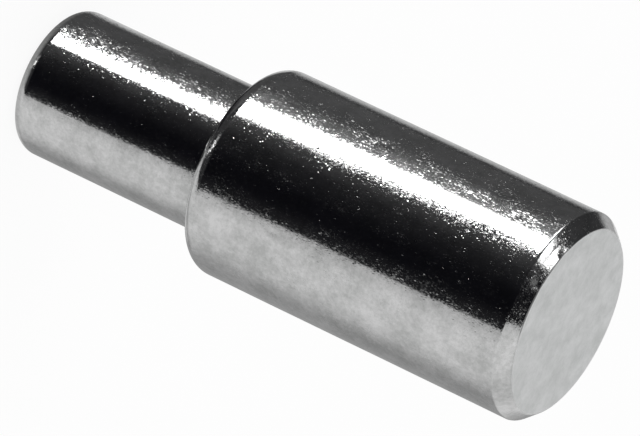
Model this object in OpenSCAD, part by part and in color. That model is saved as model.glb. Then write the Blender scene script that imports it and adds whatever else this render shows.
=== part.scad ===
// Stepped shelf support pin: one piece of steel, plated after it is formed.
// The narrow pin pushes into a drilled hole until its shoulder meets the panel, and the
// wider body stands out of the panel and carries the shelf.
// The part stands on the free end of the narrow pin, with +Z along its axis.

/* [Narrow pin] */
// Diameter of the drilled hole that the pin pushes into
hole_d = 5; // [4:0.1:6]
// Difference between the diameters of the hole and the pin
hole_clearance = 0.05; // [0.02:0.01:0.1]
// Length of the pin, from its free end to the shoulder
pin_len = 7.35; // [5:0.05:12]
// Radius of the rounded edge at the pin's free end
tip_edge_r = 0.5; // [0.1:0.05:1]
// Radius of the fillet where the pin meets the shoulder
root_fillet_r = 0.15; // [0.05:0.05:0.3]

/* [Body] */
// Diameter of the body that the shelf rests on
body_d = 7; // [6:0.1:10]
// Length of the body, from the shoulder to its end face
body_len = 12.25; // [8:0.05:20]
// Radius of the rounded edge around the shoulder
shoulder_edge_r = 0.55; // [0.1:0.05:0.8]

/* [Chamfered end] */
// Width of the chamfer across the end face, measured along the radius
chamfer_face_w = 0.4; // [0.2:0.05:1]
// Width of the chamfer along the side of the body
chamfer_side_w = 0.45; // [0.2:0.05:1]
// Radius that tumbling leaves on the two edges of the chamfer
tumbled_r = 0.12; // [0.05:0.01:0.2]

/* [Hidden] */
$fn = 96;

pin_r = (hole_d - hole_clearance) / 2;
body_r = body_d / 2;
total_len = pin_len + body_len;
// How far each cut reaches past the outside of the blank
overcut = 1;

// The step between the two diameters limits the fillet and the edge that share it
step = body_r - pin_r;
root_r = min(root_fillet_r, 0.3 * step);
shoulder_r = min(shoulder_edge_r, 0.6 * step);

// Corners of the chamfer in the profile, and the direction from the side to the face
chamfer_side_corner = [body_r, total_len - chamfer_side_w];
chamfer_face_corner = [body_r - chamfer_face_w, total_len];
chamfer_dir = unit(chamfer_face_corner - chamfer_side_corner);

// Directions in the profile, where X is the radius and Y runs along the axis
inward = [-1, 0];
outward = [1, 0];
towards_pin = [0, -1];
towards_body = [0, 1];

function unit(v) = v / norm(v);

// The area between a corner and the arc of radius r that is tangent to both its edges.
// The edges leave the corner along the unit vectors a and b. Taken from a shape it rounds
// the corner. It reaches past the corner by r, so that it never only touches the shape.
module corner_area(corner, a, b, r) {
    half_angle = acos(a * b) / 2;
    tangent_len = r / tan(half_angle);
    bisector = unit(a + b);
    translate(corner) difference() {
        polygon([-r * bisector, tangent_len * a, tangent_len * b]);
        translate(bisector * r / sin(half_angle)) circle(r);
    }
}

// What is turned away around the narrow pin. Its inner corner is rounded by the fillet.
module turned_away() {
    difference() {
        translate([pin_r, -overcut]) square([step, pin_len] + [overcut, overcut]);
        corner_area([pin_r, pin_len], outward, towards_pin, root_r);
    }
}

// Half section of the pin, from its axis outwards
module profile() {
    difference() {
        square([body_r, total_len]);
        turned_away();
        polygon([
            chamfer_side_corner,
            chamfer_face_corner,
            [body_r, total_len] + [overcut, overcut]
        ]);
        corner_area([pin_r, 0], inward, towards_body, tip_edge_r);
        corner_area([body_r, pin_len], inward, towards_body, shoulder_r);
        corner_area(chamfer_side_corner, towards_pin, chamfer_dir, tumbled_r);
        corner_area(chamfer_face_corner, -chamfer_dir, inward, tumbled_r);
    }
}

module shelf_pin() {
    color("silver")
        rotate_extrude() profile();
}

shelf_pin();
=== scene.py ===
import math

import bpy
import numpy as np
from mathutils import Matrix, Vector


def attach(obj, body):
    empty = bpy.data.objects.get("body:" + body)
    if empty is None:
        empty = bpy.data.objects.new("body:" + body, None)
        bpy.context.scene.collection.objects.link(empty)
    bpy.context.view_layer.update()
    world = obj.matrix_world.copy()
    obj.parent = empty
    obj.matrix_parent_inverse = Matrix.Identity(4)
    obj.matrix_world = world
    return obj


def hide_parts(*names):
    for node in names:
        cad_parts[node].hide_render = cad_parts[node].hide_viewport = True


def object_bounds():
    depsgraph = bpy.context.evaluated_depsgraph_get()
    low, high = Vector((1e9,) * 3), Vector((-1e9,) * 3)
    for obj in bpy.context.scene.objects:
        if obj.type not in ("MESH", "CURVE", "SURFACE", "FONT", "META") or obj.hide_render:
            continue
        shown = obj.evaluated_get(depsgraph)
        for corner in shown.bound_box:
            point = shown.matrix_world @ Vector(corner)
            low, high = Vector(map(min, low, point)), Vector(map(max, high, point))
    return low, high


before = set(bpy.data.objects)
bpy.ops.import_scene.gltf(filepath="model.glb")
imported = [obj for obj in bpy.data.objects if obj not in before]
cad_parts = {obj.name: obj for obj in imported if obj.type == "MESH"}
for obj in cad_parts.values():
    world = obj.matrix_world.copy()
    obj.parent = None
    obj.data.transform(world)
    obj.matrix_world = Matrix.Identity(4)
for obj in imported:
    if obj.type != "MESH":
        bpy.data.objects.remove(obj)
cad_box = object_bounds()

# The camera.
# A long lens looks down at the standing pin from 25 degrees above the table. It is rolled,
# so that the pin lies across the picture with its wide end nearest.
MM = 0.001
aim = Vector((0.385, 0.0, 10.5)) * MM
distance = 222.0 * MM
elevation = math.radians(25.0)
roll = math.radians(115.5)
level_right = Vector((1.0, 0.0, 0.0))
forward = Vector((0.0, math.cos(elevation), -math.sin(elevation)))
level_up = level_right.cross(forward)
right = math.cos(roll) * level_right + math.sin(roll) * level_up
up = right.cross(forward)
camera = bpy.data.objects.new("camera", bpy.data.cameras.new("camera"))
camera.data.lens = 400.0
camera.data.sensor_width = 36.0
camera.data.clip_start = 10.0 * MM
camera.data.clip_end = 5.0
axes = Matrix((right, up, -forward)).transposed().to_4x4()
camera.matrix_world = Matrix.Translation(aim - distance * forward) @ axes
bpy.context.scene.collection.objects.link(camera)
bpy.context.scene.camera = camera
bpy.context.scene.view_settings.view_transform = "Standard"


# The studio round the pin.
# Polished metal only shows what stands round it. Here that is a bright strip light with three
# weaker lights above it, white cards on the right and behind, a grey card on the left, and
# the dark of the room between.
def node(tree, kind, links=(), **settings):
    """Adds a node with its settings. Each link is (input, a value or an output socket).

    Inputs 0 to 4 of a Map Range are its value, its old range and its new range. A Mix
    takes two numbers in inputs 2 and 3, or two colours in inputs 6 and 7.
    """
    made = tree.nodes.new(kind)
    for name, value in settings.items():
        setattr(made, name, value)
    for socket, value in links:
        if isinstance(value, bpy.types.NodeSocket):
            tree.links.new(value, made.inputs[socket])
        else:
            made.inputs[socket].default_value = value
    return made


DEGREES = 180.0 / math.pi
# The dark of the room is a little blue: the second number is added to its blue alone.
ROOM_GLOW = 0.0042
ROOM_BLUE = 0.0014
# Each panel gives where it starts and ends round the pin, in degrees from +X, and then
# where it starts and ends in height above the horizon. Every edge has its softness after
# it, and the panel's brightness comes last.
PANELS = [
    # The white card on the right: a grey half, and a nearer half that is twice as bright.
    (-52.8, 0.3, 84.0, 7.0, -84.0, 6.0, 70.0, 6.0, 0.335),
    (-52.8, 0.3, -42.0, 7.0, -84.0, 6.0, 70.0, 6.0, 0.170),
    (-42.0, 9.0, 20.0, 22.0, -84.0, 6.0, 70.0, 6.0, 0.345),
    # The foot of its far half, lit up by the floor.
    (44.0, 12.0, 86.0, 4.0, -84.0, 6.0, -42.0, 4.0, 0.300),
    # It goes on behind the pin, above the table's edge, and lights up low down.
    (84.0, 7.0, 121.5, 5.0, -38.0, 6.0, 70.0, 6.0, 0.335),
    (92.0, 5.0, 113.0, 9.0, -44.0, 8.0, -16.0, 6.0, 0.220),
    (96.0, 6.0, 127.0, 5.0, -44.0, 6.0, -26.8, 0.4, 0.090),
    # The upper halves of both cards are nearer to the ceiling light.
    (-50.0, 6.0, 118.0, 8.0, -4.0, 12.0, 70.0, 6.0, 0.060),
    (26.0, 20.0, 118.0, 8.0, -2.0, 12.0, 70.0, 6.0, 0.270),
    (97.0, 3.0, 101.0, 3.0, -16.0, 6.0, 4.0, 6.0, 0.900),
    # The grey card on the left, darker in its upper half and lit from above at the top.
    (127.0, 8.0, 197.0, 4.0, -64.0, 12.0, -5.0, 8.0, 0.072),
    (123.0, 5.0, 192.0, 8.0, -5.0, 8.0, 52.0, 6.0, 0.033),
    (118.0, 8.0, 196.0, 8.0, 52.0, 6.0, 68.0, 6.0, 0.250),
    # The strip light, in a lower and an upper length, and its dimmer edge.
    (204.6, 2.0, 216.6, 1.5, -28.5, 1.5, -25.7, 0.25, 16.00),
    (204.0, 2.0, 213.0, 1.5, -25.7, 0.25, -13.0, 4.0, 16.00),
    (198.2, 2.0, 204.0, 2.0, -25.6, 0.25, -13.0, 4.0, 3.000),
    # Three weaker lights above it. The lowest shows in tipped facets, the next on walls seen
    # from table height, and the last in the chamfer.
    (181.0, 4.0, 200.0, 2.0, -17.5, 3.0, -7.5, 2.5, 6.500),
    (183.0, 3.0, 203.0, 2.0, -8.0, 3.0, 10.0, 5.0, 0.800),
    (187.0, 4.0, 213.0, 3.0, 30.0, 4.0, 54.0, 5.0, 3.000),
    # What spills from them on both sides.
    (184.0, 14.0, 200.0, 3.0, -26.6, 0.8, -14.0, 6.0, 0.185),
    (219.0, 2.0, 232.0, 13.0, -33.0, 6.0, 58.0, 8.0, 0.055),
    (219.0, 2.0, 252.0, 22.0, -33.0, 6.0, 58.0, 8.0, 0.016),
    (-66.0, 9.0, -53.0, 1.0, -33.0, 6.0, 58.0, 8.0, 0.010),
    # Low down: the dark edge of the table, and a bright line that leans across it.
    (176.0, 10.0, 238.0, 6.0, -84.0, 6.0, -31.0, 2.0, 0.034),
    (258.0, 10.0, 306.0, 3.0, -70.0, 10.0, -34.0, 5.0, 0.025),
    (242.0, 3.0, 248.0, 3.0, -56.0, 5.0, -38.0, 4.0, 0.350),
    (252.0, 2.5, 257.0, 2.5, -60.0, 5.0, -45.0, 4.0, 2.800),
    (260.0, 3.0, 266.0, 3.0, -74.0, 5.0, -60.0, 4.0, 1.000),
    (269.0, 6.0, 290.0, 8.0, -88.0, 4.0, -74.0, 4.0, 0.400),
    # The floor far below and the ceiling above reach all the way round.
    (0.0, 0.001, 360.0, 0.001, -99.0, 5.0, -84.0, 4.0, 0.150),
    (0.0, 0.001, 360.0, 0.001, 66.0, 6.0, 99.0, 5.0, 0.180),
]
# The narrow pin stands lower and further in than the body, so it meets each upright edge
# of the studio this many degrees further round. The difference is whole below the first
# of these heights, and gone above the second.
LEAN = 5.3
LEAN_WHOLE = -27.2
LEAN_GONE = -25.0

world = bpy.data.worlds.new("studio")
world.use_nodes = True
bpy.context.scene.world = world
tree = world.node_tree
tree.nodes.clear()
direction = node(tree, "ShaderNodeTexCoord").outputs["Generated"]
axes = node(tree, "ShaderNodeSeparateXYZ", [(0, direction)])
turn = node(tree, "ShaderNodeMath", [
    (0, axes.outputs["Y"]), (1, axes.outputs["X"]),
], operation="ARCTAN2")
turn = node(tree, "ShaderNodeMath", [(0, turn.outputs[0]), (1, DEGREES)], operation="MULTIPLY")
rise = node(tree, "ShaderNodeMath", [(0, axes.outputs["Z"])], operation="ARCSINE")
height = node(tree, "ShaderNodeMath", [(0, rise.outputs[0]), (1, DEGREES)], operation="MULTIPLY")
lean = node(tree, "ShaderNodeMapRange", [
    (0, height.outputs[0]), (1, LEAN_WHOLE), (2, LEAN_GONE), (3, -LEAN), (4, 0.0),
], interpolation_type="SMOOTHSTEP")
azimuth = node(tree, "ShaderNodeMath", [
    (0, turn.outputs[0]), (1, lean.outputs[0]),
], operation="ADD")
glow = ROOM_GLOW
for start, start_soft, end, end_soft, low, low_soft, high, high_soft, brightness in PANELS:
    first = start - start_soft
    past = node(tree, "ShaderNodeMath", [(0, azimuth.outputs[0]), (1, first)], operation="SUBTRACT")
    past = node(tree, "ShaderNodeMath", [
        (0, past.outputs[0]), (1, 360.0), (2, 0.0),
    ], operation="WRAP")
    panel = brightness
    for value, edge, soft, rising in (
        (past, start_soft, start_soft, True),
        (past, end - first, end_soft, False),
        (height, low, low_soft, True),
        (height, high, high_soft, False),
    ):
        step = node(tree, "ShaderNodeMapRange", [
            (0, value.outputs[0]), (1, edge - soft), (2, edge + soft),
            (3, 0.0 if rising else 1.0), (4, 1.0 if rising else 0.0),
        ], interpolation_type="SMOOTHSTEP")
        panel = node(tree, "ShaderNodeMath", [
            (0, step.outputs[0]), (1, panel),
        ], operation="MULTIPLY").outputs[0]
    glow = node(tree, "ShaderNodeMath", [(0, panel), (1, glow)], operation="ADD").outputs[0]
glow = node(tree, "ShaderNodeVectorMath", [
    (0, glow), (1, (0.0, 0.0, ROOM_BLUE)),
], operation="ADD").outputs[0]
path = node(tree, "ShaderNodeLightPath")
seen = node(tree, "ShaderNodeMix", [
    ("Factor", path.outputs["Is Camera Ray"]), (6, glow), (7, (1.0, 1.0, 1.0, 1.0)),
], data_type="RGBA")
background = node(tree, "ShaderNodeBackground", [("Color", seen.outputs[2])])
node(tree, "ShaderNodeOutputWorld", [("Surface", background.outputs[0])])


# The white table.
# A sheet of matt white laminate, level with the pin's lower end and far wider than the
# view. To the camera it mostly glows, so that it stays white and keeps only a faint shadow.
TABLE_HALF = 0.6
TABLE_GLOW = 0.92
level = cad_box[0][2]
corners = [(x * TABLE_HALF, y * TABLE_HALF, level) for x, y in ((-1, -1), (1, -1), (1, 1), (-1, 1))]
mesh = bpy.data.meshes.new("table")
mesh.from_pydata(corners, [], [(0, 1, 2, 3)])
table = bpy.data.objects.new("table", mesh)
bpy.context.scene.collection.objects.link(table)
laminate = bpy.data.materials.new("white matt laminate")
laminate.use_nodes = True
tree = laminate.node_tree
tree.nodes.clear()
path = node(tree, "ShaderNodeLightPath")
matt = node(tree, "ShaderNodeBsdfDiffuse", [("Color", (0.90, 0.90, 0.90, 1.0))])
lit = node(tree, "ShaderNodeEmission", [("Strength", 1.0)])
share = node(tree, "ShaderNodeMath", [
    (0, path.outputs["Is Camera Ray"]), (1, TABLE_GLOW),
], operation="MULTIPLY")
plain = node(tree, "ShaderNodeMixShader", [
    (0, share.outputs[0]), (1, matt.outputs[0]), (2, lit.outputs[0]),
])
# To glossy rays the table glows only where it is close beneath the pin's rounded lower edge. This
# glow is a painted reflection, with painted shade that makes it darker on the side at -X. Further
# out the table lets those rays through to the studio, whose panels already hold the rest of the
# table.
NEAR_R = 2.45 * MM
FAR_R = 2.85 * MM
PAINTED_REFLECTION_DARK = 0.16
PAINTED_REFLECTION_PALE = 0.55
place = node(tree, "ShaderNodeTexCoord").outputs["Object"]
reach = node(tree, "ShaderNodeVectorMath", [(0, place)], operation="LENGTH")
close = node(tree, "ShaderNodeMapRange", [
    (0, reach.outputs["Value"]), (1, NEAR_R), (2, FAR_R), (3, 1.0), (4, 0.0),
], interpolation_type="SMOOTHSTEP")
across = node(tree, "ShaderNodeSeparateXYZ", [(0, place)])
reflection_glow = node(tree, "ShaderNodeMapRange", [
    (0, across.outputs["X"]), (1, -2.0 * MM), (2, 1.5 * MM), (3, PAINTED_REFLECTION_DARK), (4, PAINTED_REFLECTION_PALE),
])
# An emission seen only in the metal: the painted reflection, dimmer towards -X as painted shade.
under = node(tree, "ShaderNodeEmission", [("Strength", reflection_glow.outputs[0])])
clear = node(tree, "ShaderNodeBsdfTransparent")
mirrored = node(tree, "ShaderNodeMixShader", [
    (0, close.outputs[0]), (1, clear.outputs[0]), (2, under.outputs[0]),
])
either = node(tree, "ShaderNodeMixShader", [
    (0, path.outputs["Is Glossy Ray"]), (1, plain.outputs[0]), (2, mirrored.outputs[0]),
])
node(tree, "ShaderNodeOutputMaterial", [("Surface", either.outputs[0])])
mesh.materials.append(laminate)

# A soft lamp overhead lights the table. The metal does not show it.
lamp = bpy.data.objects.new("soft lamp", bpy.data.lights.new("soft lamp", "AREA"))
lamp.data.size = 1.0
lamp.data.energy = 3.2
lamp.location = (0.0, 0.0, 0.6)
lamp.visible_camera = False
lamp.visible_glossy = False
bpy.context.scene.collection.objects.link(lamp)


# The shelf support pin.
# One piece of cold drawn steel rod. The narrow pin is turned down to a shoulder, the wide
# end is cropped and chamfered, and the pin is tumbled in a barrel before it is zinc plated.
def straight(start, end, count):
    """Points and outward angles along a straight run: start + (end - start) t."""
    t = np.linspace(0.0, 1.0, count)[:, None]
    run = np.subtract(end, start)
    facing = math.atan2(-run[0], run[1])
    return np.hstack([np.array(start) + run * t, np.full((count, 1), facing)])


def rounded(centre, radius, first, last, count, hollow=False):
    """Points and outward angles on an arc: centre + radius (cos a, sin a).

    A hollow arc is a fillet, whose outward side faces its centre.
    """
    a = np.radians(np.linspace(first, last, count))[:, None]
    ring = np.hstack([np.cos(a), np.sin(a)])
    return np.hstack([np.array(centre) + radius * ring, a + (math.pi if hollow else 0.0)])


PIN_R = 2.475
PIN_LEN = 7.35
TIP_EDGE_R = 0.5
ROOT_R = 0.15
BODY_R = 3.5
TOTAL_LEN = 19.6
SHOULDER_R = 0.55
CHAMFER_FACE_W = 0.4
CHAMFER_SIDE_W = 0.45
TUMBLED_R = 0.12
POLE_R = 0.03

# The profile runs from the axis at the lower end, up the outside, to the axis at the top.
# Each tumbled edge of the chamfer is an arc tangent to the faces on both sides of it.
slope = math.atan2(CHAMFER_FACE_W, CHAMFER_SIDE_W)
side_centre = (
    BODY_R - TUMBLED_R,
    TOTAL_LEN - CHAMFER_SIDE_W - TUMBLED_R * math.tan(slope / 2),
)
face_centre = (
    BODY_R - CHAMFER_FACE_W - TUMBLED_R * math.tan((math.pi / 2 - slope) / 2),
    TOTAL_LEN - TUMBLED_R,
)
reach_out = TUMBLED_R * np.array([math.cos(slope), math.sin(slope)])
slope_degrees = math.degrees(slope)
runs = [
    straight((POLE_R, 0.0), (PIN_R - TIP_EDGE_R, 0.0), 9),
    rounded((PIN_R - TIP_EDGE_R, TIP_EDGE_R), TIP_EDGE_R, -90.0, 0.0, 15),
    straight((PIN_R, TIP_EDGE_R), (PIN_R, PIN_LEN - ROOT_R), 54),
    rounded((PIN_R + ROOT_R, PIN_LEN - ROOT_R), ROOT_R, 180.0, 90.0, 7, hollow=True),
    straight((PIN_R + ROOT_R, PIN_LEN), (BODY_R - SHOULDER_R, PIN_LEN), 5),
    rounded((BODY_R - SHOULDER_R, PIN_LEN + SHOULDER_R), SHOULDER_R, -90.0, 0.0, 17),
    straight((BODY_R, PIN_LEN + SHOULDER_R), (BODY_R, side_centre[1]), 104),
    rounded(side_centre, TUMBLED_R, 0.0, slope_degrees, 9),
    straight(side_centre + reach_out, face_centre + reach_out, 13),
    rounded(face_centre, TUMBLED_R, slope_degrees, 90.0, 10),
    straight((face_centre[0], TOTAL_LEN), (POLE_R, TOTAL_LEN), 18),
]
profile = np.vstack([runs[0]] + [run[1:] for run in runs[1:]])
radius, rise, facing = profile.T
# A fillet's outward angles are brought to the same turn as its neighbours'.
facing = np.where(facing > math.pi, facing - 2 * math.pi, facing)
AROUND = 384
turn = np.linspace(0.0, 2.0 * np.pi, AROUND, endpoint=False)[None]
base = np.stack([
    radius[:, None] * np.cos(turn),
    radius[:, None] * np.sin(turn),
    rise[:, None] + 0.0 * turn,
], -1).reshape(-1, 3)
outward = np.stack([
    np.cos(facing)[:, None] * np.cos(turn),
    np.cos(facing)[:, None] * np.sin(turn),
    np.sin(facing)[:, None] + 0.0 * turn,
], -1).reshape(-1, 3)
base = np.vstack([base, [[0.0, 0.0, 0.0], [0.0, 0.0, TOTAL_LEN]]])
outward = np.vstack([outward, [[0.0, 0.0, -1.0], [0.0, 0.0, 1.0]]])


def waves(points, count, length, drawn, seed):
    """Height and gradient of a sum of plane waves, each cos(k . point + phase).

    k points any way and is up to one turn in `length`. Its part along Z is multiplied by
    `drawn`, which is under 1 where the marks are long and lie along the rod.
    """
    rng = np.random.default_rng(seed)
    k = rng.normal(size=(count, 3))
    turns = rng.uniform(0.3, 1.0, count) / np.linalg.norm(k, axis=1)
    k *= (2.0 * math.pi / length * turns)[:, None]
    k[:, 2] *= drawn
    angle = points @ k.T + rng.uniform(0.0, 2.0 * math.pi, count)
    share = math.sqrt(2.0 / count)
    return np.cos(angle).sum(1) * share, -(np.sin(angle) @ k) * share


# How far into the wall a nick's shape falls away, in mm.
NICK_REACH = 1.0


def dent(points, height, angle, radius, length, width, slant):
    """Depth and gradient of one nick: exp(-(u / length)^2 - (v / width)^2 - (w / reach)^2).

    u runs along the rod and v round it, both turned by `slant`. w runs into the wall, and
    keeps the nick from reaching the far side.
    """
    a, s = math.radians(angle), math.radians(slant)
    into = np.array([math.cos(a), math.sin(a), 0.0])
    round_it = np.array([-math.sin(a), math.cos(a), 0.0])
    along = np.array([0.0, 0.0, 1.0])
    scaled = np.stack([
        (math.cos(s) * along + math.sin(s) * round_it) / length,
        (math.cos(s) * round_it - math.sin(s) * along) / width,
        into / NICK_REACH,
    ])
    gap = (points - (radius * into + height * along)) @ scaled.T
    depth = np.exp(-(gap ** 2).sum(1))
    return depth, -2.0 * depth[:, None] * (gap @ scaled)


# The drawing die and the barrel leave the surface a few thousandths of a millimetre from
# true, in soft waves that make the edges of each reflection wander.
SHORT_DEPTH = 0.0010
LONG_DEPTH = 0.0040
short_waves, short_slope = waves(base, count=48, length=1.5, drawn=0.6, seed=3)
long_waves, long_slope = waves(base, count=24, length=5.0, drawn=0.5, seed=8)
relief = SHORT_DEPTH * short_waves + LONG_DEPTH * long_waves
gradient = SHORT_DEPTH * short_slope + LONG_DEPTH * long_slope
# Each nick from the barrel gives its height on the axis, its angle round it, the radius
# there, its length, its width and its slant in degrees, and last its depth.
NICKS = [
    (12.6, -136.0, BODY_R, 0.24, 0.10, 20.0, 0.016),
    (12.3, -134.2, BODY_R, 0.14, 0.09, 60.0, 0.010),
    (17.7, -130.0, BODY_R, 0.16, 0.10, -15.0, 0.012),
    (15.3, -160.0, BODY_R, 0.18, 0.11, 0.0, 0.008),
    (9.3, -134.0, BODY_R, 0.60, 0.07, 14.0, 0.006),
    (15.9, -55.0, BODY_R, 0.14, 0.10, 30.0, 0.010),
    (10.8, -66.0, BODY_R, 0.20, 0.10, 10.0, 0.009),
    (6.3, -158.0, PIN_R, 0.22, 0.10, 0.0, 0.008),
    (5.6, -154.0, PIN_R, 0.14, 0.09, 25.0, 0.007),
    (19.5, -101.0, BODY_R - 0.28, 0.14, 0.16, 0.0, 0.030),
    (19.6, -125.5, BODY_R - 0.40, 0.16, 0.20, 0.0, 0.020),
    (19.37, -120.0, BODY_R - 0.19, 0.05, 0.35, 0.0, 0.008),
]
for height, angle, at_radius, length, width, slant, depth in NICKS:
    shape, fall = dent(base, height, angle, at_radius, length, width, slant)
    relief -= depth * shape
    gradient -= depth * fall
# The relief dies away over the last 0.3 mm above the table, so that the pin stands flat.
# The fade is 3 t^2 - 2 t^3, and its own slope, 6 t (1 - t), joins the gradient.
FLAT_BELOW = 0.3
t = np.clip(base[:, 2] / FLAT_BELOW, 0.0, 1.0)
fade = t * t * (3.0 - 2.0 * t)
gradient = fade[:, None] * gradient
gradient[:, 2] += relief * 6.0 * t * (1.0 - t) / FLAT_BELOW
relief = fade * relief
points = base + relief[:, None] * outward
normals = outward - (gradient - (gradient * outward).sum(1)[:, None] * outward)
normals /= np.linalg.norm(normals, axis=1)[:, None]

rings = len(profile)
here = np.arange(AROUND)
there = (here + 1) % AROUND
ring = np.arange(rings - 1)[:, None] * AROUND
quads = np.stack([ring + here, ring + there, ring + AROUND + there, ring + AROUND + here], -1)
last_ring = (rings - 1) * AROUND
low_fan = np.stack([np.full(AROUND, rings * AROUND), there, here], -1)
high_fan = np.stack([np.full(AROUND, rings * AROUND + 1), last_ring + here, last_ring + there], -1)
mesh = bpy.data.meshes.new("shelf_support_pin")
faces = quads.reshape(-1, 4).tolist() + low_fan.tolist() + high_fan.tolist()
mesh.from_pydata(points * MM, [], faces)
mesh.polygons.foreach_set("use_smooth", np.ones(len(mesh.polygons), bool))
# The two flat ends are cropped, not drawn: 1 on them, 0 elsewhere, and rising between
# these two steepnesses on the edge round each of them.
END_STARTS = 0.93
END_FULL = 0.99
END_DEPTH = 0.1
flat_end = (np.abs(outward[:, 2]) - END_STARTS) / (END_FULL - END_STARTS)
flat_end *= (base[:, 2] < END_DEPTH) | (base[:, 2] > TOTAL_LEN - END_DEPTH)
cropped = mesh.attributes.new("cropped", "FLOAT", "POINT")
cropped.data.foreach_set("value", np.clip(flat_end, 0.0, 1.0))
mesh.normals_split_custom_set_from_vertices(normals.tolist())
piece = bpy.data.objects.new("plated_pin", mesh)
bpy.context.scene.collection.objects.link(piece)
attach(piece, "root")
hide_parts("shelf_pin")


def colour(code):
    """The linear colour of an sRGB hex code: ((c + 0.055) / 1.055) ** 2.4 above the toe."""
    values = [int(code[i:i + 2], 16) / 255.0 for i in (0, 2, 4)]
    return [v / 12.92 if v <= 0.04045 else ((v + 0.055) / 1.055) ** 2.4 for v in values] + [1.0]


# Bright zinc plate over tumbled steel. It is a mirror of fine facets with a peppering of
# pits. Both follow steel that was drawn out along the rod, so that each band of light frays
# at its edges. The cropped ends are duller and softly mottled.
plate = bpy.data.materials.new("bright zinc plate on tumbled steel")
plate.use_nodes = True
tree = plate.node_tree
tree.nodes.clear()
place = node(tree, "ShaderNodeTexCoord").outputs["Object"]
# In both of these a unit is 1 mm. `drawn` makes a pattern 2.4 times as long along the rod.
PER_MM = 1.0 / MM
DRAWN_OUT = 0.42
drawn = node(tree, "ShaderNodeMapping", [
    ("Vector", place), ("Scale", (PER_MM, PER_MM, DRAWN_OUT * PER_MM)),
]).outputs[0]
even = node(tree, "ShaderNodeMapping", [
    ("Vector", place), ("Scale", (PER_MM, PER_MM, PER_MM)),
]).outputs[0]

# The facets. Zinc settles in crystals about 0.01 mm across. They are drawn 0.03 mm across,
# because finer ones do not show. Most lie level and shine, and a few are tipped or dull.
# The tipped and dull ones crowd together in patches half a millimetre across.
FACETS_PER_MM = 38.0
PATCHES_PER_MM = 1.8
LEAST_TIP = 0.014
MOST_TIP = 0.28
crowd = node(tree, "ShaderNodeTexNoise", [
    ("Vector", drawn), ("Scale", PATCHES_PER_MM), ("Detail", 4.0), ("Roughness", 0.7),
])
crowded = node(tree, "ShaderNodeMapRange", [
    (0, crowd.outputs[0]), (1, 0.36), (2, 0.72), (3, 0.25), (4, 1.0),
])
# The side at +X is the smoother one, most of all on the narrow pin.
side = node(tree, "ShaderNodeSeparateXYZ", [(0, place)])
smooth_side = node(tree, "ShaderNodeMapRange", [
    (0, side.outputs["Z"]), (1, 5.0 * MM), (2, 9.0 * MM), (3, 0.45), (4, 0.80),
])
worn = node(tree, "ShaderNodeMapRange", [
    (0, side.outputs["X"]), (1, -0.6 * MM), (2, 0.6 * MM), (3, 1.0), (4, smooth_side.outputs[0]),
])
crowded = node(tree, "ShaderNodeMath", [
    (0, crowded.outputs[0]), (1, worn.outputs[0]),
], operation="MULTIPLY")
facets = node(tree, "ShaderNodeTexVoronoi", [
    ("Vector", drawn), ("Scale", FACETS_PER_MM),
], feature="F1")
chance = node(tree, "ShaderNodeSeparateColor", [(0, facets.outputs["Color"])])
tipped = node(tree, "ShaderNodeMath", [(0, chance.outputs[2]), (1, 6.0)], operation="POWER")
tipped = node(tree, "ShaderNodeMath", [
    (0, tipped.outputs[0]), (1, MOST_TIP), (2, LEAST_TIP),
], operation="MULTIPLY_ADD")
tipped = node(tree, "ShaderNodeMath", [
    (0, tipped.outputs[0]), (1, crowded.outputs[0]),
], operation="MULTIPLY")
way = node(tree, "ShaderNodeVectorMath", [
    (0, facets.outputs["Color"]), (1, (0.5, 0.5, 0.5)),
], operation="SUBTRACT")
tip = node(tree, "ShaderNodeVectorMath", [
    (0, way.outputs[0]), ("Scale", tipped.outputs[0]),
], operation="SCALE")

# The pits, 0.04 mm apart and mostly faint.
PITS_PER_MM = 24.0
PIT_DEPTH = 0.0075 * MM
cells = node(tree, "ShaderNodeTexVoronoi", [("Vector", drawn), ("Scale", PITS_PER_MM)], feature="F1")
size = node(tree, "ShaderNodeSeparateColor", [(0, cells.outputs["Color"])])
size = node(tree, "ShaderNodeMath", [(0, size.outputs[0]), (1, 12.0)], operation="POWER")
size = node(tree, "ShaderNodeMath", [
    (0, size.outputs[0]), (1, crowded.outputs[0]),
], operation="MULTIPLY")
inside = node(tree, "ShaderNodeMapRange", [
    (0, cells.outputs["Distance"]), (1, 0.0), (2, 0.62), (3, 1.0), (4, 0.0),
], interpolation_type="SMOOTHSTEP")
pits = node(tree, "ShaderNodeMath", [
    (0, inside.outputs[0]), (1, size.outputs[0]),
], operation="MULTIPLY")
pit_bump = node(tree, "ShaderNodeBump", [
    ("Height", pits.outputs[0]), ("Strength", 1.0), ("Distance", PIT_DEPTH),
], invert=True)
normal = node(tree, "ShaderNodeVectorMath", [
    (0, pit_bump.outputs[0]), (1, tip.outputs[0]),
], operation="ADD")
normal = node(tree, "ShaderNodeVectorMath", [(0, normal.outputs[0])], operation="NORMALIZE")

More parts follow.
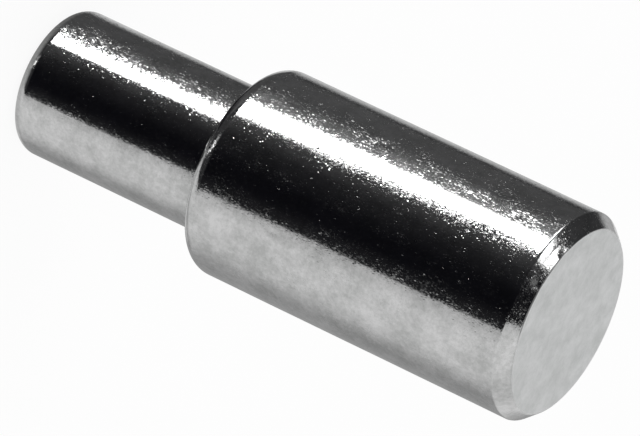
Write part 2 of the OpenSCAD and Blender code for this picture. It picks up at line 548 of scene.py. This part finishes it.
# The roughness. Each facet has its own, mostly near the least, and the cropped ends have
# one that is even.
LEAST_ROUGH = 0.07
DULL_ROUGH = 0.36
CROPPED_ROUGH = 0.42
face = node(tree, "ShaderNodeAttribute", attribute_name="cropped")
dull = node(tree, "ShaderNodeMath", [(0, chance.outputs[0]), (1, 3.0)], operation="POWER")
dull = node(tree, "ShaderNodeMath", [
    (0, dull.outputs[0]), (1, crowded.outputs[0]),
], operation="MULTIPLY")
dull = node(tree, "ShaderNodeMath", [
    (0, dull.outputs[0]), (1, DULL_ROUGH), (2, LEAST_ROUGH),
], operation="MULTIPLY_ADD")
rough = node(tree, "ShaderNodeMix", [
    ("Factor", face.outputs["Fac"]), (2, dull.outputs[0]), (3, CROPPED_ROUGH),
], data_type="FLOAT")

# The colour. The wall is mottled by a fine pattern and a broad one, 0.2 mm and 0.9 mm
# across, and the cropped ends by clouds 0.6 mm across.
TONES_PER_MM = 6.0
STAINS_PER_MM = 1.1
CLOUDS_PER_MM = 1.6
tone = node(tree, "ShaderNodeTexNoise", [
    ("Vector", even), ("Scale", TONES_PER_MM), ("Detail", 4.0), ("Roughness", 0.8),
])
stain = node(tree, "ShaderNodeTexNoise", [
    ("Vector", even), ("Scale", STAINS_PER_MM), ("Detail", 3.0), ("Roughness", 0.6),
])
mottle = node(tree, "ShaderNodeMath", [(0, tone.outputs[0]), (1, stain.outputs[0])], operation="ADD")
paleness = node(tree, "ShaderNodeMapRange", [
    (0, mottle.outputs[0]), (1, 0.76), (2, 1.24), (3, 0.0), (4, 1.0),
])
wall = node(tree, "ShaderNodeMix", [
    ("Factor", paleness.outputs[0]), (6, colour("c6c7c6")), (7, colour("ebebeb")),
], data_type="RGBA")
cloud = node(tree, "ShaderNodeTexNoise", [
    ("Vector", even), ("Scale", CLOUDS_PER_MM), ("Detail", 6.0), ("Roughness", 0.75),
])
cloud = node(tree, "ShaderNodeMapRange", [
    (0, cloud.outputs[0]), (1, 0.32), (2, 0.68), (3, 0.0), (4, 1.0),
])
end = node(tree, "ShaderNodeMix", [
    ("Factor", cloud.outputs[0]), (6, colour("dbdddc")), (7, colour("f3f4f4")),
], data_type="RGBA")
metal = node(tree, "ShaderNodeMix", [
    ("Factor", face.outputs["Fac"]), (6, wall.outputs[2]), (7, end.outputs[2]),
], data_type="RGBA")
shader = node(tree, "ShaderNodeBsdfPrincipled", [
    ("Base Color", metal.outputs[2]), ("Metallic", 1.0), ("Roughness", rough.outputs[0]),
    ("Normal", normal.outputs[0]),
])
node(tree, "ShaderNodeOutputMaterial", [("Surface", shader.outputs[0])])
mesh.materials.append(plate)
